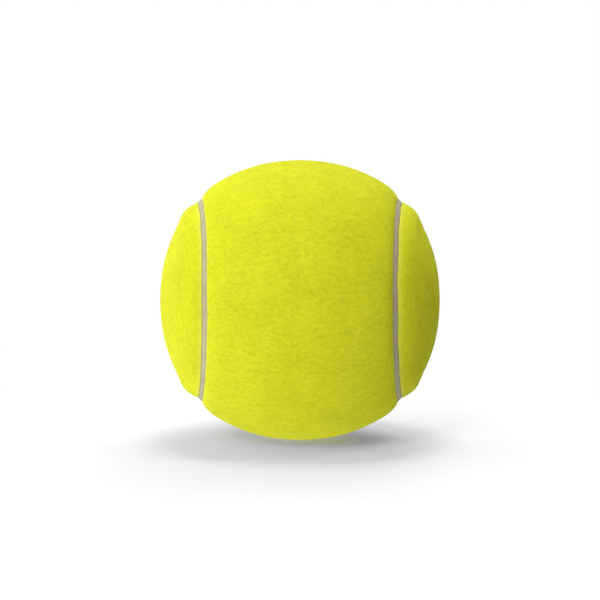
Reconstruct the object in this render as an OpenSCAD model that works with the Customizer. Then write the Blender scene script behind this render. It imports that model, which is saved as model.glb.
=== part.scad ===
// Tennis ball: a hollow rubber core in two half shells, two dog-bone panels of felt around
// it, and the band of rubber that fills the seam between the panels.
// The origin is the centre of the ball. Y runs through the waists of both panels: panel A's
// waist faces -Y and stands upright, and panel B's faces +Y and lies level. The ball rests on
// the lowest point of panel A.

/* [Core] */
// Outside diameter of the rubber core
core_d = 60; // [50:0.5:66]
// Thickness of the wall of the core's two half shells
core_wall = 3.3; // [2:0.1:5]
// Thickness of the cement between the rims of the half shells
joint_t = 0.15; // [0.1:0.05:0.5]
// Radius of the bead of cement squeezed out inside the joint
joint_bead_r = 0.6; // [0.4:0.1:1.2]

/* [Coats] */
// Thickness of the rubber cement all over the core
cement_t = 0.2; // [0.1:0.05:0.5]
// Thickness of the cement on the back of each felt panel
back_coat_t = 0.15; // [0.1:0.05:0.5]

/* [Felt] */
// Thickness of the felt along the middle of a panel
felt_t = 2.45; // [1.5:0.05:4]
// Height of the felt's swell beside the seam at a waist, where the cloth is stretched
waist_swell_h = 0.86; // [0.2:0.01:2]
// Distance from the seam in which the swell rises at a waist
waist_swell_rise = 1.27; // [0.5:0.01:3]
// Height of the felt's swell beside the seam round the end of a panel, where the cloth is gathered
lobe_swell_h = 0.83; // [0.2:0.01:2]
// Distance from the seam in which the swell rises round the end of a panel
lobe_swell_rise = 1.79; // [0.5:0.01:3]
// Extra height at the four shoulders of a panel, where an end's round edge turns to the waist
shoulder_h = 0.74; // [0:0.01:1.5]
// Distance from the seam to the crest of a shoulder
shoulder_at = 3.2; // [1:0.1:8]
// Distance from its crest in which a shoulder falls away
shoulder_spread = 1.85; // [0.8:0.05:4]
// Distance from the seam at which the swell has faded out
swell_reach = 22; // [12:0.5:30]

/* [Seam] */
// Width of the rubber between the edges of the felt
seam_w = 1.35; // [0.6:0.05:3]
// Depth of the middle of the seam's face below the edges of the felt
seam_sink = 0.05; // [0:0.05:0.5]
// Fall of the seam's face from its middle to its sides
seam_crown = 0.15; // [0:0.05:0.5]
// Angle from the middle of a waist to the seam, seen from the centre of the ball
waist_deg = 36.9; // [32:0.1:42]
// Share of the threefold wave in the seam's path, which widens the ends of the panels
lobe_share = 0.3365; // [0.25:0.0005:0.4]

/* [Hidden] */

// Stations along the seam, a multiple of 4, so that a turned panel meets its neighbour
station_count = 144;
stations = [for (i = [0:station_count - 1]) (i + 0.5) * 360 / station_count];
// Places of the rows of the felt's surface, from the edge to the middle of the panel
row_shares = [0, 0.015, 0.04, 0.075, 0.11, 0.15, 0.2, 0.27, 0.37, 0.49, 0.63, 0.8, 1];
// Points across the seam's face, from one side to the other
seam_shares = [-1, -0.5, 0, 0.5, 1];
// Power by which a swell fades, and how sharply it turns from a waist's to a lobe's
swell_fade = 1.23;
swell_turnover = 8;
// The wedges that cut the coats and carry the felt start inside the core and, as their faces
// are flat, end well outside the coats
wedge_low_share = 0.9;
wedge_high_share = 1.25;
round_fn = 96;

core_r = core_d / 2;
hollow_r = core_r - core_wall;
cement_r = core_r + cement_t;
back_coat_r = cement_r + back_coat_t;
plain_r = back_coat_r + felt_t;
wedge_low_r = wedge_low_share * core_r;
wedge_high_r = wedge_high_share * back_coat_r;
// The seam's path is flattened along Y so that it crosses the waists at waist_deg
seam_depth = (1 - lobe_share) / tan(waist_deg);
half_seam_deg = seam_w / 2 / plain_r * 180 / PI;

function unit(v) = v / norm(v);

// Middle line of the seam: one closed path around the ball, for u from 0 to 360
function seam_path(u) = [
    cos(u) - lobe_share * cos(3 * u),
    -seam_depth * cos(2 * u),
    sin(u) + lobe_share * sin(3 * u)];
function seam_slope(u) = [
    -sin(u) + 3 * lobe_share * sin(3 * u),
    2 * seam_depth * sin(2 * u),
    cos(u) + 3 * lobe_share * cos(3 * u)];
function seam_dir(u) = unit(seam_path(u));

// Direction square to the seam, along the surface, into panel A
function side_dir(u) = unit(cross(seam_path(u), seam_slope(u)));

// Direction reached by leaving the seam square to it and going round by an angle
function off_seam(u, angle) = seam_dir(u) * cos(angle) + side_dir(u) * sin(angle);

// Angle from the seam to panel A's middle line, which lies in the plane X = 0
function width_deg(u) = atan2(abs(seam_dir(u).x), -side_dir(u).x * sign(seam_dir(u).x));

// Angle of a place between the edge of the felt (0) and the panel's middle line (1)
function place_deg(u, share) = half_seam_deg + share * (width_deg(u) - half_seam_deg);

// A swell rises fast from the edge of the felt and fades slowly towards the middle, where it
// ends at its reach, or at the panel's middle line if that is nearer. The list finds the height
// of the curve's peak, which gives each swell its stated height.
function curve(s, rise, reach) = s >= reach ? 0
    : (1 - exp(-s / rise)) * pow(1 - s / reach, swell_fade);
function peak(rise) = max([for (i = [0:100]) curve(i / 100 * swell_reach, rise, swell_reach)]);
function reach(u) = min(swell_reach, (width_deg(u) - half_seam_deg) * PI / 180 * plain_r);
waist_scale = waist_swell_h / peak(waist_swell_rise);
lobe_scale = lobe_swell_h / peak(lobe_swell_rise);

// Part that the lobe's swell plays at a station: 0 at a waist, 1 round the end of a panel
function lobe_part(u) = 1 / (1 + exp(swell_turnover * cos(2 * u)));

// A shoulder is a round ridge that stands where the seam turns from a lobe towards a waist
function shoulder_part(u) = lobe_part(u) * pow(sin(2 * u), 2);
function shoulder(s) = shoulder_h * exp(-pow((s - shoulder_at) / shoulder_spread, 2));

function swell(u, s) = (1 - lobe_part(u)) * waist_scale * curve(s, waist_swell_rise, reach(u))
    + lobe_part(u) * lobe_scale * curve(s, lobe_swell_rise, reach(u))
    + shoulder_part(u) * shoulder(s);

function flat_row(share, r) = [for (u = stations) r * off_seam(u, place_deg(u, share))];
function felt_row(share) = [for (u = stations)
    let (angle = place_deg(u, share), s = (angle - half_seam_deg) * PI / 180 * plain_r)
    (plain_r + swell(u, s)) * off_seam(u, angle)];

// The rows at the middle line fold shut: a station shares its point with the one opposite
function fold(i) = let (n = station_count, k = i % n, twin = (n / 2 - 1 - k + n) % n)
    min(k, twin);
function row_point(row, i, last) = row * station_count
    + (row == 0 || row == last ? fold(i) : i % station_count);
function is_face(f) = f[0] != f[1] && f[1] != f[2] && f[2] != f[0];

// Closed solid over panel A, from rows that run from its inner middle line down, round the
// edge and back to its outer middle line
module panel_solid(rows) {
    last = len(rows) - 1;
    faces = [for (row = [0:last - 1], i = [0:station_count - 1])
        let (a = row_point(row, i, last), b = row_point(row, i + 1, last),
            c = row_point(row + 1, i + 1, last), d = row_point(row + 1, i, last))
        each [[a, b, c], [a, c, d]]];
    polyhedron([for (row = rows) each row], [for (f = faces) if (is_face(f)) f]);
}

module panel_wedge() panel_solid([flat_row(1, wedge_low_r), flat_row(0, wedge_low_r),
    flat_row(0, wedge_high_r), flat_row(1, wedge_high_r)]);

module panel_felt() panel_solid([flat_row(1, wedge_low_r), flat_row(0, wedge_low_r),
    for (share = row_shares) felt_row(share)]);

// Panel B is panel A turned half round about the line between the X and Z axes
module as_panel_b() rotate(180, [1, 0, 1]) children();

module round_ball(r) sphere(r, $fn = round_fn);

module back_coat() color("tan") difference() {
    intersection() {
        round_ball(back_coat_r);
        panel_wedge();
    }
    round_ball(cement_r);
}

module felt_panel() color([0.82, 0.84, 0.17]) difference() {
    panel_felt();
    round_ball(back_coat_r);
}

module core_half() color("dimgray") difference() {
    round_ball(core_r);
    round_ball(hollow_r);
    translate([0, 0, joint_t / 2 - core_r]) cube(2 * core_r, center = true);
}

module core_half_upper() core_half();
module core_half_lower() rotate([180, 0, 0]) core_half();

// The cement fills the joint's gap and stands out as a round bead inside
module core_joint_cement() color("sienna") rotate_extrude($fn = round_fn) {
    difference() {
        intersection() {
            circle(core_r, $fn = round_fn);
            translate([0, -joint_t / 2]) square([core_r, joint_t]);
        }
        circle(hollow_r, $fn = round_fn);
    }
    intersection() {
        translate([hollow_r, 0]) circle(joint_bead_r, $fn = round_fn / 2);
        circle(hollow_r, $fn = round_fn);
    }
}

module core_cement_coat() color("peru") difference() {
    round_ball(cement_r);
    round_ball(core_r);
}

module felt_back_coat_a() back_coat();
module felt_back_coat_b() as_panel_b() back_coat();
module felt_panel_a() felt_panel();
module felt_panel_b() as_panel_b() felt_panel();

// The seam's cross-section goes round from its foot on side B, over its face, to side A
module seam_rubber() color([0.72, 0.69, 0.58]) difference() {
    section = [[-1, wedge_low_r],
        for (share = seam_shares) [share, plain_r - seam_sink - seam_crown * share * share],
        [1, wedge_low_r]];
    n = len(section);
    points = [for (u = stations, p = section) p[1] * off_seam(u, p[0] * half_seam_deg)];
    faces = [for (i = [0:station_count - 1], k = [0:n - 1])
        let (next = (i + 1) % station_count, a = i * n + k, b = i * n + (k + 1) % n,
            c = next * n + (k + 1) % n, d = next * n + k)
        each [[a, c, b], [a, d, c]]];
    polyhedron(points, faces);
    round_ball(cement_r);
}

core_half_upper();
core_half_lower();
core_joint_cement();
core_cement_coat();
felt_back_coat_a();
felt_back_coat_b();
felt_panel_a();
felt_panel_b();
seam_rubber();
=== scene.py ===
import math
import bpy
import numpy as np
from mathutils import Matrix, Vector


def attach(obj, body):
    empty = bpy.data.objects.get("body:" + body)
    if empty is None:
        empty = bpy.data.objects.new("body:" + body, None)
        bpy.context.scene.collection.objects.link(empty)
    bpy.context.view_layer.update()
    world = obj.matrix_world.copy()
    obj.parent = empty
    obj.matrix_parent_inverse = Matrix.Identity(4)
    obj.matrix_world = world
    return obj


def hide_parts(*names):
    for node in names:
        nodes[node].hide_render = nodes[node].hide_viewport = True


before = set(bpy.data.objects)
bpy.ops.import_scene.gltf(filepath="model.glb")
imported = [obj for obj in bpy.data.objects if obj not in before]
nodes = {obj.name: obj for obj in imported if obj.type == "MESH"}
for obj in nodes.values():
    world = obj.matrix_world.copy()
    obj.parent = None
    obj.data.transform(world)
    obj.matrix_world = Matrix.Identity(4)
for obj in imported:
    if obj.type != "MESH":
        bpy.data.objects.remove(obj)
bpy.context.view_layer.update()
print("frame loaded:", len(nodes), "nodes")

# Sizes are written in millimetres, and every mesh is put in metres
mm = 0.001

# The ball's sizes. The shoulders, the seam's width and its crown differ a little from the
# solids', because here the nap and the fluffed cut edges lie over the felt's plain form.
ball = {
    "coatRadius": 30.35,  # outside of the cement on the back of the felt
    "cementRadius": 30.2,  # outside of the cement on the core
    "plainRadius": 32.8,  # felt along the middle of a panel
    "waistSwell": (0.86, 1.27),  # height and rise of the swell at a waist
    "lobeSwell": (0.83, 1.79),  # height and rise round the end of a panel
    "shoulder": (0.56, 3.6, 2.5),  # height, distance from the seam, and spread
    "swellReach": 22.0,  # distance from the seam at which a swell has faded out
    "swellFade": 1.23,  # power by which it fades
    "swellTurnover": 8.0,  # how sharply a waist's swell turns to that of an end
    "seamHalfWidth": 0.75,
    "seamSink": 0.05,  # middle of the seam's face below the felt's plain radius
    "seamCrown": 0.08,  # fall of the seam's face from its middle to its sides
    "cornerRise": (0.36, 0.9),  # how much higher the seam stands at a shoulder, and how it fades
    "waistAngle": 36.9,  # degrees from the middle of a waist to the seam
    "lobeShare": 0.3365,  # share of the threefold wave in the seam's path
}

# Starts of the random draws: the cut edges, the felt's tufts, the nap and its swirl, the seam
seeds = {"edge": 40, "tufts": 100, "nap": 7, "swirl": 5, "ripple": 77}


def unitRows(v):
    return v / np.linalg.norm(v, axis=-1, keepdims=True)


def smoothNoise(points, cell, seed):
    # Value noise: a random number from -1 to 1 at each corner of a lattice of that cell size,
    # blended inside each cell by 3t^2 - 2t^3 along every axis. The large whole numbers only
    # scramble a corner's place into its random number.
    scaled = np.asarray(points, float) / cell + 1000.0
    base = np.floor(scaled).astype(np.int64)
    part = scaled - base
    part = part * part * (3 - 2 * part)
    total = 0.0
    for corner in np.ndindex(*(2,) * scaled.shape[-1]):
        place = base + np.array(corner)
        weight = np.prod(np.where(np.array(corner) == 1, part, 1 - part), axis=-1)
        mixed = (place * np.array([73856093, 19349663, 83492791])[:scaled.shape[-1]]).sum(axis=-1)
        mixed = (mixed + seed * 2654435761) & 0xFFFFFFFF
        mixed = ((mixed ^ (mixed >> 15)) * 2246822519) & 0xFFFFFFFF
        mixed = ((mixed ^ (mixed >> 13)) * 3266489917) & 0xFFFFFFFF
        total = total + weight * ((mixed ^ (mixed >> 16)) / 2147483647.5 - 1)
    return total


# The seam's path, and the panels that leave it

seamDepth = (1 - ball["lobeShare"]) / math.tan(math.radians(ball["waistAngle"]))


def seamPath(u):
    # (cos u - k cos 3u, -d cos 2u, sin u + k sin 3u) for the angle u in radians
    k = ball["lobeShare"]
    return np.stack([
        np.cos(u) - k * np.cos(3 * u),
        -seamDepth * np.cos(2 * u),
        np.sin(u) + k * np.sin(3 * u)], axis=-1)


def seamSlope(u):
    # The path's derivative by u
    k = ball["lobeShare"]
    return np.stack([
        -np.sin(u) + 3 * k * np.sin(3 * u),
        2 * seamDepth * np.sin(2 * u),
        np.cos(u) + 3 * k * np.cos(3 * u)], axis=-1)


def seamFrame(u):
    # The path's direction from the centre, and the direction square to it into panel A
    path = seamPath(u)
    return unitRows(path), unitRows(np.cross(path, seamSlope(u)))


def stationAngles(count):
    # Angles u at the middles of that many equal steps round the seam
    return (np.arange(count) + 0.5) * 2 * np.pi / count


def offSeam(middle, across, angle):
    # Direction reached by leaving the seam square to it and going round by an angle
    return middle * np.cos(angle)[:, None] + across * np.sin(angle)[:, None]


def halfPanel(middle, across):
    # Angle from the seam to the panel's middle line, which lies in the plane X = 0
    return np.arctan2(np.abs(middle[:, 0]), -across[:, 0] * np.sign(middle[:, 0]))


def cornerLift(u):
    # The seam and both cut edges stand higher at the shoulders, by h sin^4(2u)
    return ball["cornerRise"][0] * np.sin(2 * u) ** 4


def swellHeight(u, distance, width):
    # w lobe + (1 - w) waist, where each is h (1 - e^(-s/rise)) (1 - s/reach)^fade over its own
    # peak, and w = 1/(1 + e^(turnover cos 2u)) is 1 round the ends and 0 at the waists. A
    # shoulder adds w sin^2(2u) h e^(-((s - at)/spread)^2), and the seam's rise fades by
    # e^(-s/fade). The reach ends at the panel's middle line.
    reach = np.minimum(ball["swellReach"], width)
    lobePart = 1 / (1 + np.exp(ball["swellTurnover"] * np.cos(2 * u)))
    height, at, spread = ball["shoulder"]
    total = lobePart * np.sin(2 * u) ** 2 * height * np.exp(-((distance - at) / spread) ** 2)
    total = total + cornerLift(u) * np.exp(-distance / ball["cornerRise"][1])
    for part, (height, rise) in ((1 - lobePart, ball["waistSwell"]), (lobePart, ball["lobeSwell"])):
        along = np.linspace(0, ball["swellReach"], 101)
        peak = ((1 - np.exp(-along / rise)) * (1 - along / along[-1]) ** ball["swellFade"]).max()
        left = np.clip(1 - distance / reach, 0, 1)
        total = total + part * height / peak * (1 - np.exp(-distance / rise)) * left ** ball["swellFade"]
    return total


def nearestSeam(ways):
    # Angle u of the nearest place on the seam, and the signed angle from it into panel A: the
    # largest dot product with a ring of places, refined by a parabola through its neighbours
    n = 720
    u = stationAngles(n)
    dots = ways @ seamFrame(u)[0].T
    k = dots.argmax(axis=1)
    rows = np.arange(len(ways))
    before, at, after = dots[rows, k - 1], dots[rows, k], dots[rows, (k + 1) % n]
    near = u[k] + 0.5 * (before - after) / (before - 2 * at + after) * 2 * np.pi / n
    middle, across = seamFrame(near)
    return near, np.arctan2(np.einsum("ij,ij->i", ways, across), np.einsum("ij,ij->i", ways, middle))


edgeWander = [(0.12, 4.5), (0.09, 1.4)]  # height and cell of the cut edges' long and short wander


def edgeShift(seamPoints, side):
    # How far the cut edge of the felt wanders from its line: two noises along the seam
    total = 0.0
    for step, (height, cell) in enumerate(edgeWander):
        seed = seeds["edge"] + 10 * side + step
        total = total + height * smoothNoise(seamPoints * ball["plainRadius"], cell, seed)
    return total


def asPanelB(v):
    # Panel B is panel A with (X, Y, Z) turned to (Z, -Y, X)
    return np.stack([v[..., 2], -v[..., 1], v[..., 0]], axis=-1)


def clothPlace(v):
    # Cloth coordinates of a point of panel A: asin(x/r) R across the panel, and the angle
    # round the X axis times R along it
    r = ball["plainRadius"]
    d = unitRows(v)
    return np.stack([np.arcsin(np.clip(d[..., 0], -1, 1)) * r,
        np.arctan2(d[..., 2], -d[..., 1]) * r], axis=-1)


def clothWay(place):
    # Direction from the centre to a place on panel A's cloth, the way back from clothPlace
    a, b = (place / ball["plainRadius"]).T
    return np.stack([np.sin(a), -np.cos(a) * np.cos(b), np.cos(a) * np.sin(b)], axis=-1)


def putMesh(name, points, faces, attributes=None, smooth=True):
    # Points in mm and their faces, put into a new mesh in metres
    mesh = bpy.data.meshes.new(name)
    mesh.from_pydata(np.ascontiguousarray(points * mm), [], faces)
    for key, values in (attributes or {}).items():
        values = np.ascontiguousarray(values, np.float32)
        kind = "FLOAT" if values.ndim == 1 else "FLOAT_VECTOR"
        layer = mesh.attributes.new(key, kind, "POINT")
        layer.data.foreach_set("value" if kind == "FLOAT" else "vector", values.ravel())
    mesh.polygons.foreach_set("use_smooth", np.full(len(mesh.polygons), smooth))
    mesh.update()
    piece = bpy.data.objects.new(name, mesh)
    bpy.context.scene.collection.objects.link(piece)
    return piece


def gridTriangles(a, b, c, d):
    # Two triangles for each cell of a grid with the corners a, b, c and d
    return np.concatenate([np.stack([a, c, b], -1).reshape(-1, 3), np.stack([a, d, c], -1).reshape(-1, 3)])


def outwardFaces(points, tris):
    # A closed mesh has a positive volume, sum of a.(b x c)/6, when its faces point outwards
    a, b, c = points[tris[:, 0]], points[tris[:, 1]], points[tris[:, 2]]
    volume = np.einsum("ij,ij->i", a, np.cross(b, c)).sum() / 6
    return tris if volume > 0 else tris[:, ::-1]


# The felt panels

felt = {
    "stations": 900,  # places along the seam
    "rows": 84,  # from the cut edge to the middle line
    "rowSpread": 1.55,  # power that draws the rows together at the edge
    "backRows": 10,
    "cutRows": (1.9, 1.1, 0.5, 0.2, 0.06),  # depths of the rows on the cut edge
    "wanderReach": 2.5,  # how far from the edge its wander still moves the rows
    "tufts": [(0.011, (2.6, 1.5)), (0.005, (1.2, 0.75)), (0.035, (10.0, 7.0))],  # height, cell
    "tuftStart": 1.5,  # distance from the cut edge at which the tufts have their full height
    "underNap": 0.03,  # how far the cloth lies below the tops of its nap
}


def faceRadius(u, distance, width, ways, side):
    # Radius of the felt's face: plain radius - nap + swell + tufts
    cloth = clothPlace(ways)
    seed = seeds["tufts"] * (side + 1)
    tuft = sum(height * smoothNoise(cloth / np.array(cell), 1.0, seed + k)
        for k, (height, cell) in enumerate(felt["tufts"]))
    grown = np.clip(distance / felt["tuftStart"], 0, 1)
    swell = swellHeight(u, np.maximum(distance, 0), width)
    return ball["plainRadius"] - felt["underNap"] + swell + tuft * grown


def panelRows(side):
    # Rows of a closed panel: in along the back to the cut edge, up the edge, and out over the
    # face to the middle line
    n = felt["stations"]
    u = stationAngles(n)
    middle, across = seamFrame(u)
    r = ball["plainRadius"]
    width = halfPanel(middle, across)
    half = (ball["seamHalfWidth"] + edgeShift(asPanelB(middle) if side else middle, side)) / r
    plainHalf = ball["seamHalfWidth"] / r

    def place(share):
        # Angle from the seam: plain + share (width - plain) + wander e^(-distance/reach)
        fade = np.exp(-share * (width - plainHalf) * r / felt["wanderReach"])
        return plainHalf + share * (width - plainHalf) + (half - plainHalf) * fade

    rows, edges = [], []
    for share in np.linspace(1, 0, felt["backRows"]):
        rows.append(ball["coatRadius"] * offSeam(middle, across, place(share)))
        edges.append(np.zeros(n))
    edge = offSeam(middle, across, place(0.0))
    for depth in felt["cutRows"]:
        radius = r - felt["underNap"] - depth + cornerLift(u)
        rows.append(radius[:, None] * edge)
        edges.append(np.zeros(n))
    for share in np.linspace(0, 1, felt["rows"]) ** felt["rowSpread"]:
        distance = (place(share) - half) * r
        way = offSeam(middle, across, place(share))
        rows.append(faceRadius(u, distance, (width - half) * r, way, side)[:, None] * way)
        edges.append(distance)
    return np.array(rows), np.array(edges)


def foldedFaces(rowCount, n):
    # Triangles of the grid; in the first and the last row a station shares its point with the
    # one opposite, (n/2 - 1 - k) mod n, and triangles without area are left out
    k = np.arange(n)
    fold = np.minimum(k, (n // 2 - 1 - k) % n)
    index = np.arange(rowCount)[:, None] * n + k[None, :]
    index[0] = fold
    index[-1] = (rowCount - 1) * n + fold
    a, b = index[:-1], np.roll(index[:-1], -1, axis=1)
    d, c = index[1:], np.roll(index[1:], -1, axis=1)
    tris = gridTriangles(a, b, c, d)
    good = (tris[:, 0] != tris[:, 1]) & (tris[:, 1] != tris[:, 2]) & (tris[:, 2] != tris[:, 0])
    return tris[good]


def feltPanel(name, side):
    # The panel's mesh, with its cloth coordinates and distance from the cut edge. The third
    # coordinate sets panel B's pattern apart from panel A's.
    rows, edges = panelRows(side)
    tris = foldedFaces(len(rows), felt["stations"])
    used, inverse = np.unique(tris, return_inverse=True)
    tris = inverse.reshape(tris.shape)
    points, edge = rows.reshape(-1, 3)[used], edges.reshape(-1)[used]
    cloth = np.column_stack([clothPlace(points), np.full(len(points), 50.0 * side)])
    tris = outwardFaces(points, tris)
    panel = putMesh(name, asPanelB(points) if side else points, tris, {"cloth": cloth, "edge": edge})
    onFace = edge[tris].min(axis=1) > 0
    print(name, len(tris), "triangles")
    return panel, points, tris[onFace], cloth, edge


feltPanels = [feltPanel("felt_a", 0), feltPanel("felt_b", 1)]
for (panel, *_), node in zip(feltPanels, ("felt_panel_a", "felt_panel_b")):
    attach(panel, "root")
    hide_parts(node)


# The nap: short bent fibres that lie on the felt

nap = {
    "pieces": 2,  # for each panel
    "fibres": 16000,  # in a piece
    "length": (1.0, 0.35),  # middle value, and spread of its logarithm
    "width": (0.032, 0.7, 1.3),  # usual value, and its least and most share
    # single fibres are too fine to show from the camera, so some stand for bundles
    "bundles": (0.45, 0.1, 0.8),  # share, width, and length against a single fibre's
    "bundleStart": 1.2,  # distance from the cut edge at which the bundles start
    "flatness": 0.15,  # height of a fibre's section over its width
    "line": [(0, 0), (0.33, 0.75), (0.68, 1.0), (1, 0.55)],  # shares of the length and the lift
    "taper": [(1, 1.0), (2, 0.85)],  # points of the line with a ring, and its share of the width
    "rootDepth": 0.08,
    "lift": (0.022, 0.4, 1.6),  # height of a fibre's back above the felt, in the same way
    "strayShare": 0.003,
    "strayLift": (0.25, 0.5, 1.5),
    "strayTip": 1.3,  # a stray's tip stands higher than its back
    "turn": 0.5,  # spread of the direction, radians
    "swirl": (0.35, 2.6),  # how far neighbours turn together, and the cell of their turning
    "bend": 0.35,  # spread of the bend, over the length
    # two coarse loose fibres: place of the root on the cloth, direction and length
    "loose": {"nap_a_1": [(14.2, -21.9, 0.96, 3.2), (10.1, -25.8, 1.01, 2.8)]},
    "looseWidth": 0.17,
    "looseBend": 0.08,
    "looseFromEdge": 10.0,
    "looseTip": 5.0,  # how much further than a tip they turn pale
}


def scatterRoots(panelData, count, rng):
    # Random places spread evenly over the felt's face: a triangle is chosen by its area, and
    # the place in it has the corner weights 1 - p - q, p and q
    _, points, tris, cloth, edge = panelData
    a, b, c = points[tris[:, 0]], points[tris[:, 1]], points[tris[:, 2]]
    flat = np.cross(b - a, c - a)
    area = np.linalg.norm(flat, axis=1)
    chosen = rng.choice(len(tris), count, p=area / area.sum())
    w = rng.random((count, 2))
    over = w.sum(axis=1) > 1
    w[over] = 1 - w[over]
    w = np.column_stack([1 - w.sum(axis=1), w])

    def blendCorners(values):
        return np.einsum("ij,ij...->i...", w, values[tris[chosen]])

    return blendCorners(points), unitRows(flat[chosen]), blendCorners(cloth), blendCorners(edge)


def varied(setting, count, rng):
    # A usual value, times random shares between the least and the most
    usual, least, most = setting
    return usual * (least + (most - least) * rng.random(count))


def drawFibres(name, panelData, seed):
    # Where each fibre stands and what it is like. The loose fibres come first, in their places.
    count = nap["fibres"]
    rng = np.random.default_rng(seed)
    root, normal, place, fromEdge = scatterRoots(panelData, count, rng)
    loose = np.reshape(nap["loose"].get(name, []), (-1, 4))
    n = len(loose)
    normal[:n] = clothWay(loose[:, :2])
    root[:n] = normal[:n] * ball["plainRadius"]
    place[:n, :2] = loose[:, :2]
    fromEdge[:n] = nap["looseFromEdge"]

    axis = np.array([1.0, 0.0, 0.0])
    acrossWay = unitRows(axis - normal * (normal @ axis)[:, None])
    alongWay = np.cross(normal, acrossWay)
    swirl, cell = nap["swirl"]
    angle = swirl * smoothNoise(place[:, :2], cell, seed + seeds["swirl"])
    angle = angle + rng.normal(0, nap["turn"], count) + np.pi * (rng.random(count) < 0.5)
    length, spread = nap["length"]
    size = length * np.exp(rng.normal(0, spread, count))
    angle[:n], size[:n] = loose[:, 2], loose[:, 3]
    way = acrossWay * np.cos(angle)[:, None] + alongWay * np.sin(angle)[:, None]
    bend = rng.normal(0, nap["bend"], count)
    bend[:n] = nap["looseBend"]

    share, wide, longer = nap["bundles"]
    bundle = (rng.random(count) < share) & (fromEdge > nap["bundleStart"])
    bundle[:n] = False
    size = np.where(bundle, size * longer, size)
    stray = rng.random(count) < nap["strayShare"]
    rise = varied(nap["lift"], count, rng)
    rise = np.where(stray, varied(nap["strayLift"], count, rng), rise)
    thick = varied(nap["width"], count, rng) / 2
    thick = np.where(bundle, thick * wide / nap["width"][0], thick)
    thick[:n] = nap["looseWidth"] / 2
    tone = rng.random(count)
    return {"loose": n, "root": root, "normal": normal, "way": way, "beside": np.cross(normal, way),
        "place": place, "fromEdge": fromEdge, "size": size, "bend": bend, "stray": stray,
        "rise": rise, "thick": thick, "tone": tone}


def fibreLines(fibres, side):
    # The points of each fibre's line: it leaves its root along the cloth, bends by b t^2 to the
    # side, and stands on the felt's own face all along
    line = []
    for k, (share, lift) in enumerate(nap["line"]):
        ahead = fibres["size"] * share
        sideways = fibres["bend"] * fibres["size"] * share ** 2
        ways = fibres["root"] + fibres["way"] * ahead[:, None] + fibres["beside"] * sideways[:, None]
        ways = unitRows(ways)
        u, fromSeam = nearestSeam(ways)
        width = halfPanel(*seamFrame(u)) * ball["plainRadius"] - ball["seamHalfWidth"]
        distance = fromSeam * ball["plainRadius"] - ball["seamHalfWidth"]
        atTip = k == len(nap["line"]) - 1
        height = fibres["rise"] * np.where(fibres["stray"] & atTip, nap["strayTip"], lift)
        if k == 0:
            height = height - nap["rootDepth"]
        ground = faceRadius(u, distance, width, ways, side)
        line.append(ways * ground[:, None] + fibres["normal"] * height[:, None])
    return line


def fibreMesh(name, panelData, side, seed):
    # Each fibre is a closed hull of its root, two flattened three-sided rings and its tip. It
    # is shaded flat, because smooth shading would darken so thin a section.
    fibres = drawFibres(name, panelData, seed)
    line = fibreLines(fibres, side)
    rings = []
    for k, share in nap["taper"]:
        for spin in np.pi * (0.5 + 2 / 3 * np.arange(3)):
            around = fibres["beside"] * np.cos(spin) + fibres["normal"] * (nap["flatness"] * np.sin(spin))
            rings.append(line[k] + around * (fibres["thick"] * share)[:, None])
    verts = np.stack([line[0], *rings, line[-1]], axis=1)
    count, corners = verts.shape[:2]
    # corner 0 is the root, 1 to 3 and 4 to 6 are the rings, and 7 is the tip
    pattern = np.array([(0, 2, 1), (0, 3, 2), (0, 1, 3), (1, 2, 5), (1, 5, 4), (2, 3, 6), (2, 6, 5),
        (3, 1, 4), (3, 4, 6), (4, 5, 7), (5, 6, 7), (6, 4, 7)])
    faces = (np.arange(count)[:, None, None] * corners + pattern[None]).reshape(-1, 3)
    verts = verts.reshape(-1, 3)
    faces = outwardFaces(verts - np.repeat(fibres["root"], corners, axis=0), faces)
    along = [share for share, _ in nap["line"]]
    tip = np.tile(np.repeat(along, (1, 3, 3, 1)).astype(float), count)
    tip[:corners * fibres["loose"]] = nap["looseTip"]
    attributes = {
        "cloth": np.repeat(fibres["place"], corners, axis=0),
        "edge": np.repeat(fibres["fromEdge"], corners),
        "tone": np.repeat(fibres["tone"], corners),
        "tip": tip}
    piece = putMesh(name, asPanelB(verts) if side else verts, faces, attributes, smooth=False)
    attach(piece, "root")
    return piece


napPieces = [[], []]
for side, data in enumerate(feltPanels):
    for k in range(nap["pieces"]):
        name = "nap_%s_%d" % ("ab"[side], k + 1)
        napPieces[side].append(fibreMesh(name, data, side, seeds["nap"] + 10 * side + k))
print("nap:", sum(len(piece.data.polygons) for group in napPieces for piece in group), "triangles")


# The band of rubber in the seam

seam = {
    "stations": 1800,
    "faceRows": 11,
    "ripple": (0.02, 2.2),  # height and cell of the unevenness of its face
    "sideRows": (0.8, 1.8),  # depths of the rows on its sides
}


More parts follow.
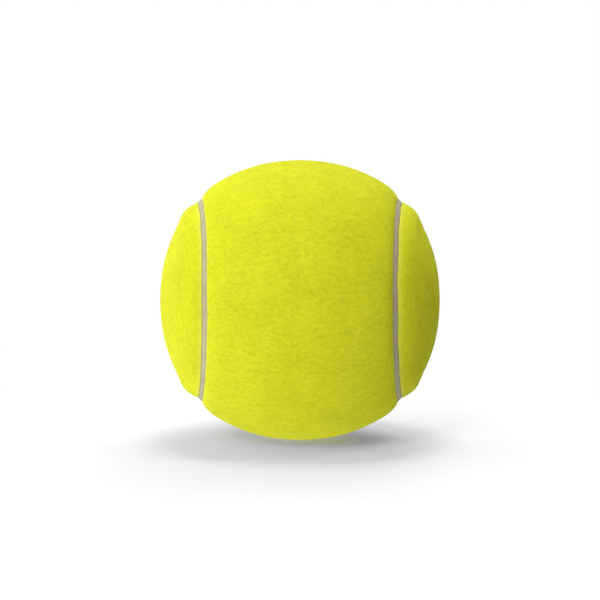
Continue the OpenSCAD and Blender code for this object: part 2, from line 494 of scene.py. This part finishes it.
def seamBand(name):
    # A closed section carried round the seam: its face has the radius plain + rise - sink -
    # crown q^2 for q from side to side, and its sides follow the cut edges of the felt
    n = seam["stations"]
    u = stationAngles(n)
    middle, across = seamFrame(u)
    r = ball["plainRadius"]
    sideA = (ball["seamHalfWidth"] + edgeShift(middle, 0)) / r
    sideB = (ball["seamHalfWidth"] + edgeShift(middle, 1)) / r

    def wayTo(q):
        return offSeam(middle, across, q * (sideA if q > 0 else sideB))

    height, cell = seam["ripple"]
    shares = list(np.linspace(-1, 1, seam["faceRows"]))
    rows = []
    for q in shares:
        ripple = height * smoothNoise(wayTo(q) * r, cell, seeds["ripple"])
        face = r + cornerLift(u) - ball["seamSink"] - ball["seamCrown"] * q ** 2 + ripple
        rows.append(face[:, None] * wayTo(q))
    down = [*(r - depth for depth in seam["sideRows"]), ball["cementRadius"]]
    foot = [*((1, radius) for radius in down), (0, down[-1]), *((-1, radius) for radius in reversed(down))]
    rows += [radius * wayTo(q) for q, radius in foot]
    shares += [q for q, _ in foot]

    index = np.arange(len(rows))[:, None] * n + np.arange(n)[None, :]
    a, b = index, np.roll(index, -1, axis=1)
    d, c = np.roll(index, -1, axis=0), np.roll(b, -1, axis=0)
    points = np.array(rows).reshape(-1, 3)
    tris = outwardFaces(points, gridTriangles(a, b, c, d))
    band = putMesh(name, points, tris, {"side": np.repeat(np.array(shares, float), n)})
    print(name, len(tris), "triangles")
    return band


seamPiece = seamBand("seam_band")
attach(seamPiece, "root")
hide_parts("seam_rubber")


# Steps that the materials share

def linearColour(hexText):
    # sRGB c to linear: c/12.92 below 0.04045, else ((c + 0.055)/1.055)^2.4
    out = []
    for place in (0, 2, 4):
        c = int(hexText[place:place + 2], 16) / 255
        out.append(c / 12.92 if c <= 0.04045 else ((c + 0.055) / 1.055) ** 2.4)
    return (*out, 1.0)


def newMaterial(name):
    material = bpy.data.materials.new(name)
    material.use_nodes = True
    material.node_tree.nodes.clear()
    return material, material.node_tree


def addNode(tree, kind, settings=None, links=None):
    # Adds one node: settings are its own fields or unlinked sockets, links feed its sockets
    node = tree.nodes.new(kind)
    for key, value in (settings or {}).items():
        if isinstance(key, str) and hasattr(node, key):
            setattr(node, key, value)
        else:
            node.inputs[key].default_value = value
    for key, source in (links or {}).items():
        tree.links.new(source, node.inputs[key])
    return node


def addMath(tree, operation, *terms, kind="ShaderNodeMath"):
    # One step of arithmetic, on numbers and the outputs of other nodes
    links = {k: term for k, term in enumerate(terms) if isinstance(term, bpy.types.NodeSocket)}
    numbers = {k: term for k, term in enumerate(terms) if k not in links}
    return addNode(tree, kind, {"operation": operation, **numbers}, links).outputs[0]


def addVectorMath(tree, operation, *terms):
    return addMath(tree, operation, *terms, kind="ShaderNodeVectorMath")


def mapRange(tree, value, source, target=(0.0, 1.0), kind="LINEAR"):
    # Carries a value from one range to another, and holds it at the ends
    settings = {"interpolation_type": kind, "From Min": source[0], "From Max": source[1],
        "To Min": target[0], "To Max": target[1]}
    return addNode(tree, "ShaderNodeMapRange", settings, {"Value": value}).outputs["Result"]


def readAttribute(tree, name, output="Fac"):
    return addNode(tree, "ShaderNodeAttribute", {"attribute_name": name}).outputs[output]


def addNoise(tree, vector, cell, detail, rough=0.5):
    # Noise with patches of about that many mm
    return addNode(tree, "ShaderNodeTexNoise", {"Scale": 1 / (cell * mm), "Detail": detail,
        "Roughness": rough}, {"Vector": vector}).outputs["Fac"]


def addRamp(tree, value, stops):
    # Colours at places from 0 to 1 of a value
    ramp = addNode(tree, "ShaderNodeValToRGB", {}, {"Fac": value})
    elements = ramp.color_ramp.elements
    for element, (place, hexText) in zip(elements, (stops[0], stops[-1])):
        element.position = place
        element.color = linearColour(hexText)
    for place, hexText in stops[1:-1]:
        elements.new(place).color = linearColour(hexText)
    return ramp.outputs["Color"]


def blendTo(tree, share, colour, hexText):
    # Blends a colour towards a plain one
    blend = addNode(tree, "ShaderNodeMix", {"data_type": "RGBA"})
    blend.inputs[7].default_value = linearColour(hexText)
    tree.links.new(share, blend.inputs[0])
    tree.links.new(colour, blend.inputs[6])
    return blend.outputs[2]


def finishSurface(tree, colour, settings, bump=None):
    # The surface's shader; bump is a height, its strength and its depth in mm
    links = {"Base Color": colour}
    if bump:
        height, strength, depth = bump
        links["Normal"] = addNode(tree, "ShaderNodeBump", {"Strength": strength, "Distance": depth * mm},
            {"Height": height}).outputs["Normal"]
    shader = addNode(tree, "ShaderNodeBsdfPrincipled", settings, links)
    addNode(tree, "ShaderNodeOutputMaterial", {}, {"Surface": shader.outputs["BSDF"]})


# Finishes

feltLook = {
    "colours": [(0, "D0D320"), (0.5, "DDE026"), (1, "E8EB2D")],
    # cell in mm across and along the panel, detail, roughness and weight of each pattern. The
    # finest are drawn coarser than real felt, so that they show in the render.
    "patterns": [
        ((0.9, 0.6), 1.5, 0.5, 1.0),
        ((1.9, 1.0), 1.5, 0.5, 0.7),
        ((9.0, 9.0), 1.0, 0.55, 0.7),
        ((0.6, 0.35), 1.0, 0.55, 0.12),
    ],
    "range": (0.89, 1.63),  # sums of the patterns with the deepest and the palest colour
    "bump": (0.1, 0.1),
    "sheen": "EEF24A",
    "edgeFluffAndHighlight": ("EAEC70", 0.9, 0.5),  # colour, width and share of the paler cut edge: partly its fluffed fibres, partly a painted highlight of the lit edge wall
}


def paleEdgeFluffAndHighlight(tree, colour):
    # Blends a colour towards a paler one within a short way of the felt's cut edge: partly the fluffed
    # fibres, and partly a painted highlight where the edge wall meets the light
    hexText, width, share = feltLook["edgeFluffAndHighlight"]
    near = mapRange(tree, readAttribute(tree, "edge"), (0.0, width), (share, 0.0))
    return blendTo(tree, near, colour, hexText)


def feltCloth():
    # Needled wool and nylon felt dyed bright yellow, brushed to a short nap: it scatters the
    # light, so it has next to no gloss, and its tufts lie across the panel in faint streaks
    material, tree = newMaterial("brushed wool and nylon felt, bright yellow")
    cloth = readAttribute(tree, "cloth", "Vector")
    total = 0.0
    for size, detail, rough, weight in feltLook["patterns"]:
        place = addVectorMath(tree, "DIVIDE", cloth, (*size, 1.0))
        pattern = addNode(tree, "ShaderNodeTexNoise", {"Scale": 1.0, "Detail": detail, "Roughness": rough},
            {"Vector": place}).outputs["Fac"]
        total = addMath(tree, "MULTIPLY_ADD", pattern, weight, total)
    shown = addRamp(tree, mapRange(tree, total, feltLook["range"]), feltLook["colours"])
    # the paler cut edge is partly fluffed fibres and partly a painted highlight
    finishSurface(tree, paleEdgeFluffAndHighlight(tree, shown), {"Roughness": 0.95, "Specular IOR Level": 0.05,
        "Sheen Weight": 0.4, "Sheen Roughness": 0.5, "Sheen Tint": linearColour(feltLook["sheen"])},
        (total, *feltLook["bump"]))
    return material


napLook = {
    "colours": [(0, "CACD1D"), (0.5, "DDE024"), (1, "EDF136")],
    "tip": ("F4F67C", 0.12),  # colour of a worn tip, and its share there
}


def napFibre():
    # Single fibres of the same felt: each takes the dye a little differently, and is paler
    # at its worn tip
    material, tree = newMaterial("felt nap fibre, bright yellow")
    dyed = addRamp(tree, readAttribute(tree, "tone"), napLook["colours"])
    hexText, share = napLook["tip"]
    worn = blendTo(tree, addMath(tree, "MULTIPLY", readAttribute(tree, "tip"), share), dyed, hexText)
    # the paler cut edge is partly fluffed fibres and partly a painted highlight
    finishSurface(tree, paleEdgeFluffAndHighlight(tree, worn), {"Roughness": 0.8, "Specular IOR Level": 0.1,
        "Sheen Weight": 0.15, "Sheen Roughness": 0.5, "Sheen Tint": linearColour(feltLook["sheen"])})
    return material


seamLook = {
    "colours": [(0, "B3AC8C"), (1, "C2BC9B")],
    "smear": (2.5, 3.0, 0.6),  # cell in mm, detail and roughness
    "grain": (0.25, 2.0),
    "grainWeight": 0.3,
    "range": (0.45, 0.85),
    # the darker sides are painted shade in the crease by the felt, with some dust
    "shadeAndDust": ("8C8470", 0.6, 0.4),  # colour, where it starts towards the side, and its share there
    "bump": (0.3, 0.05),
}


def seamRubber():
    # Natural rubber moulded in the seam, warm grey and matt, with a fine grain, faint darker
    # smears from the mould, and a darker line along each edge: painted shade in the crease by the felt,
    # with some dust
    material, tree = newMaterial("moulded natural rubber, warm grey")
    place = addNode(tree, "ShaderNodeTexCoord").outputs["Object"]
    smear = addNoise(tree, place, *seamLook["smear"])
    grain = addNoise(tree, place, *seamLook["grain"])
    both = addMath(tree, "MULTIPLY_ADD", grain, seamLook["grainWeight"], smear)
    clean = addRamp(tree, mapRange(tree, both, seamLook["range"]), seamLook["colours"])
    # painted shade, with some dust, darkens the rubber towards both sides
    hexText, start, share = seamLook["shadeAndDust"]
    side = addMath(tree, "ABSOLUTE", readAttribute(tree, "side"))
    shadeAndDust = mapRange(tree, side, (start, 1.0), (0.0, share))
    finishSurface(tree, blendTo(tree, shadeAndDust, clean, hexText), {"Roughness": 0.7, "Specular IOR Level": 0.3},
        (both, *seamLook["bump"]))
    return material


coreLook = {
    "colours": [(0.35, "3A3834"), (0.7, "5A5751")],
    "bloom": (7.0, 4.0, 0.6),
    "grain": (0.4, 2.0),
    "bump": (0.25, 0.1),
}


def coreRubber():
    # Compression-moulded black rubber, talc dusted, so it has a grey bloom in soft patches
    material, tree = newMaterial("compression-moulded rubber with talc bloom")
    place = addNode(tree, "ShaderNodeTexCoord").outputs["Object"]
    bloom = addNoise(tree, place, *coreLook["bloom"])
    grain = addNoise(tree, place, *coreLook["grain"])
    finishSurface(tree, addRamp(tree, bloom, coreLook["colours"]), {"Roughness": 0.65},
        (grain, *coreLook["bump"]))
    return material


cementLook = {
    "colours": [(0.3, "8F6A3C"), (0.7, "BE9863")],
    "coat": (8.0, 4.0, 0.65),
    "brushing": (1.0, 1.0, 5.0),  # how much finer the coat's patches are along each axis
    "bump": (0.3, 0.1),
}


def rubberCement():
    # Brushed and cured rubber cement: amber, satin, and darker where the coat lies thicker
    material, tree = newMaterial("cured rubber cement, amber")
    place = addNode(tree, "ShaderNodeTexCoord").outputs["Object"]
    brushed = addNode(tree, "ShaderNodeMapping", {"Scale": cementLook["brushing"]}, {"Vector": place})
    coat = addNoise(tree, brushed.outputs["Vector"], *cementLook["coat"])
    finishSurface(tree, addRamp(tree, coat, cementLook["colours"]), {"Roughness": 0.45},
        (coat, *cementLook["bump"]))
    return material


def dress(piece, material):
    piece.data.materials.clear()
    piece.data.materials.append(material)


feltFinish, napFinish, seamFinish = feltCloth(), napFibre(), seamRubber()
coreFinish, cementFinish = coreRubber(), rubberCement()
for panel, *_ in feltPanels:
    dress(panel, feltFinish)
for group in napPieces:
    for piece in group:
        dress(piece, napFinish)
dress(seamPiece, seamFinish)
for name in ("core_half_upper", "core_half_lower"):
    dress(nodes[name], coreFinish)
for name in ("core_joint_cement", "core_cement_coat", "felt_back_coat_a", "felt_back_coat_b"):
    dress(nodes[name], cementFinish)
print("finishes put on")


# Lamps, world, floor and camera

studio = {
    "distance": 0.8,
    "level": 1 / 0.65,  # the lamps' radiances below are for a floor that shows as white
    "lamps": [  # yaw from the camera's side, height above the floor, half angle, radiance
        (2.3, 89.0, 8.5, 7.6),
        (-24.5, 30.5, 10.3, 7.02),
        (68.3, 58.4, 2.9, 19.0),
        (177.7, 63.2, 22.3, 0.89),
        (-80.8, 42.9, 26.0, 0.55),
        (-139.9, 15.2, 14.8, 2.2),
        (158.4, 50.2, 17.2, 1.25),
    ],
    "world": 0.152,
    "bounce": (0.228, 0.68, 0.060),  # plain, more towards -X, and half the turnover's width
    "floorReach": 20000.0,
    "floorShade": 0.62,  # grey of the paper that takes the lamps' light
    "floorGlow": 0.345,  # light added to it, so that its shadows are no darker than the photo's
    "ballOnFloor": (0.455, 0.465, 0.03),  # light that the ball throws on the paper under it
    "ballOnRight": (0.6, -15 * mm, 25 * mm),  # share of it left at +X, and where it starts and ends
    "rightLift": (0.035, 12 * mm, 34 * mm),  # more glow towards +X, and where it starts and ends
    "contactShade": (0.13, (10 * mm, -3 * mm), 19 * mm),  # less glow by the contact: most, place, reach
    "floorWhite": (75 * mm, 160 * mm),  # distances over which the floor turns plain white
}


def addLamp(number, yaw, height, halfAngle, radiance):
    # A disc lamp faces the ball from a direction; power = radiance times area times pi
    yaw, height = math.radians(yaw), math.radians(height)
    way = Vector((math.sin(yaw) * math.cos(height), -math.cos(yaw) * math.cos(height), math.sin(height)))
    data = bpy.data.lights.new("softbox_%d" % number, "AREA")
    data.shape = "DISK"
    data.size = 2 * studio["distance"] * math.tan(math.radians(halfAngle))
    data.energy = radiance * studio["level"] * math.pi * (data.size / 2) ** 2 * math.pi
    lamp = bpy.data.objects.new(data.name, data)
    lamp.location = way * studio["distance"]
    lamp.rotation_euler = way.to_track_quat("Z", "Y").to_euler()
    lamp.visible_camera = False
    bpy.context.scene.collection.objects.link(lamp)


def studioWorld():
    # A faint even light from all round, which the camera sees as plain white
    world = bpy.data.worlds.new("studio")
    bpy.context.scene.world = world
    world.use_nodes = True
    tree = world.node_tree
    tree.nodes.clear()
    rays = addNode(tree, "ShaderNodeLightPath")
    seen = addMath(tree, "MAXIMUM", rays.outputs["Is Camera Ray"], rays.outputs["Is Transmission Ray"])
    strength = mapRange(tree, seen, (0.0, 1.0), (studio["world"] * studio["level"], 1.0))
    sky = addNode(tree, "ShaderNodeBackground", {"Color": (1, 1, 1, 1)}, {"Strength": strength})
    addNode(tree, "ShaderNodeOutputWorld", {}, {"Surface": sky.outputs["Background"]})


floorZ = -ball["plainRadius"]


def paperGlow(tree, place, distance, right):
    # The paper's added light: it rises towards +X, sinks by the contact, and leaves out the
    # ball's own yellow light, which falls off as (radius/distance)^3 and is weaker on the
    # ball's dark side, so the shadow stays grey
    closeness = addMath(tree, "DIVIDE", ball["plainRadius"] * mm, distance)
    share, start, end = studio["ballOnRight"]
    amount = addMath(tree, "MULTIPLY", addMath(tree, "POWER", closeness, 3.0),
        mapRange(tree, right, (start, end), (1.0, share)))
    thrown = addNode(tree, "ShaderNodeVectorMath", {"operation": "SCALE", 0: studio["ballOnFloor"]},
        {"Scale": amount}).outputs["Vector"]
    more, start, end = studio["rightLift"]
    glow = studio["floorGlow"]
    base = mapRange(tree, right, (start, end), (glow, glow + more), "SMOOTHSTEP")
    deepest, centre, reach = studio["contactShade"]
    away = addNode(tree, "ShaderNodeVectorMath", {"operation": "DISTANCE", 1: (*centre, floorZ * mm)},
        {0: place}).outputs["Value"]
    contact = mapRange(tree, away, (0.0, reach), (deepest, 0.0), "SMOOTHSTEP")
    left = addVectorMath(tree, "SUBTRACT", addMath(tree, "SUBTRACT", base, contact), thrown)
    return addVectorMath(tree, "MAXIMUM", left, (0, 0, 0))


def studioFloor():
    # White paper: the camera sees it lit and shaded by the ball, and plain white further off,
    # and the ball gets its bounce
    material, tree = newMaterial("white studio paper")
    rays = addNode(tree, "ShaderNodeLightPath")
    place = addNode(tree, "ShaderNodeTexCoord").outputs["Object"]
    right = addNode(tree, "ShaderNodeSeparateXYZ", {}, {"Vector": place}).outputs["X"]
    distance = addNode(tree, "ShaderNodeVectorMath", {"operation": "LENGTH"}, {0: place}).outputs["Value"]
    plain, more, half = studio["bounce"]
    level = studio["level"]
    strength = mapRange(tree, right, (-half, half), ((plain + more) * level, plain * level))
    bounce = addNode(tree, "ShaderNodeEmission", {"Color": (1, 1, 1, 1)}, {"Strength": strength})
    shade = addNode(tree, "ShaderNodeBsdfDiffuse", {"Color": (*[studio["floorShade"]] * 3, 1)})
    glow = addNode(tree, "ShaderNodeEmission", {}, {"Color": paperGlow(tree, place, distance, right)})
    near = addNode(tree, "ShaderNodeAddShader", {}, {0: shade.outputs["BSDF"], 1: glow.outputs["Emission"]})
    white = addNode(tree, "ShaderNodeEmission", {"Color": (1, 1, 1, 1), "Strength": 1.0})
    far = mapRange(tree, distance, studio["floorWhite"], (0.0, 1.0), "SMOOTHSTEP")
    shown = addNode(tree, "ShaderNodeMixShader", {},
        {0: far, 1: near.outputs["Shader"], 2: white.outputs["Emission"]})
    mixed = addNode(tree, "ShaderNodeMixShader", {},
        {0: rays.outputs["Is Diffuse Ray"], 1: shown.outputs["Shader"], 2: bounce.outputs["Emission"]})
    addNode(tree, "ShaderNodeOutputMaterial", {}, {"Surface": mixed.outputs["Shader"]})
    material.cycles.emission_sampling = "NONE"
    return material


# From that far away a radius of 32.8 mm shows as 140 of the picture's 600 pixels
view = {"away": 196.8, "focalPixels": 828.0, "picturePixels": 600, "sensor": 36.0}


def photoCamera():
    # The camera stands level with the ball's centre, on the -Y side
    data = bpy.data.cameras.new("camera")
    data.sensor_width = view["sensor"]
    data.lens = view["focalPixels"] / view["picturePixels"] * view["sensor"]
    data.clip_start = 0.01
    data.clip_end = 100.0
    camera = bpy.data.objects.new("camera", data)
    camera.location = (0.0, -view["away"] * mm, 0.0)
    camera.rotation_euler = (math.radians(90), 0, 0)
    bpy.context.scene.collection.objects.link(camera)
    bpy.context.scene.camera = camera


for number, lampValues in enumerate(studio["lamps"]):
    addLamp(number + 1, *lampValues)
studioWorld()
reach = studio["floorReach"]
floor = putMesh("studio_floor", np.array([(-reach, -reach, floorZ), (reach, -reach, floorZ),
    (reach, reach, floorZ), (-reach, reach, floorZ)]), [(0, 1, 2, 3)], smooth=False)
dress(floor, studioFloor())
photoCamera()
bpy.context.scene.view_settings.view_transform = "Standard"
print("studio ready")
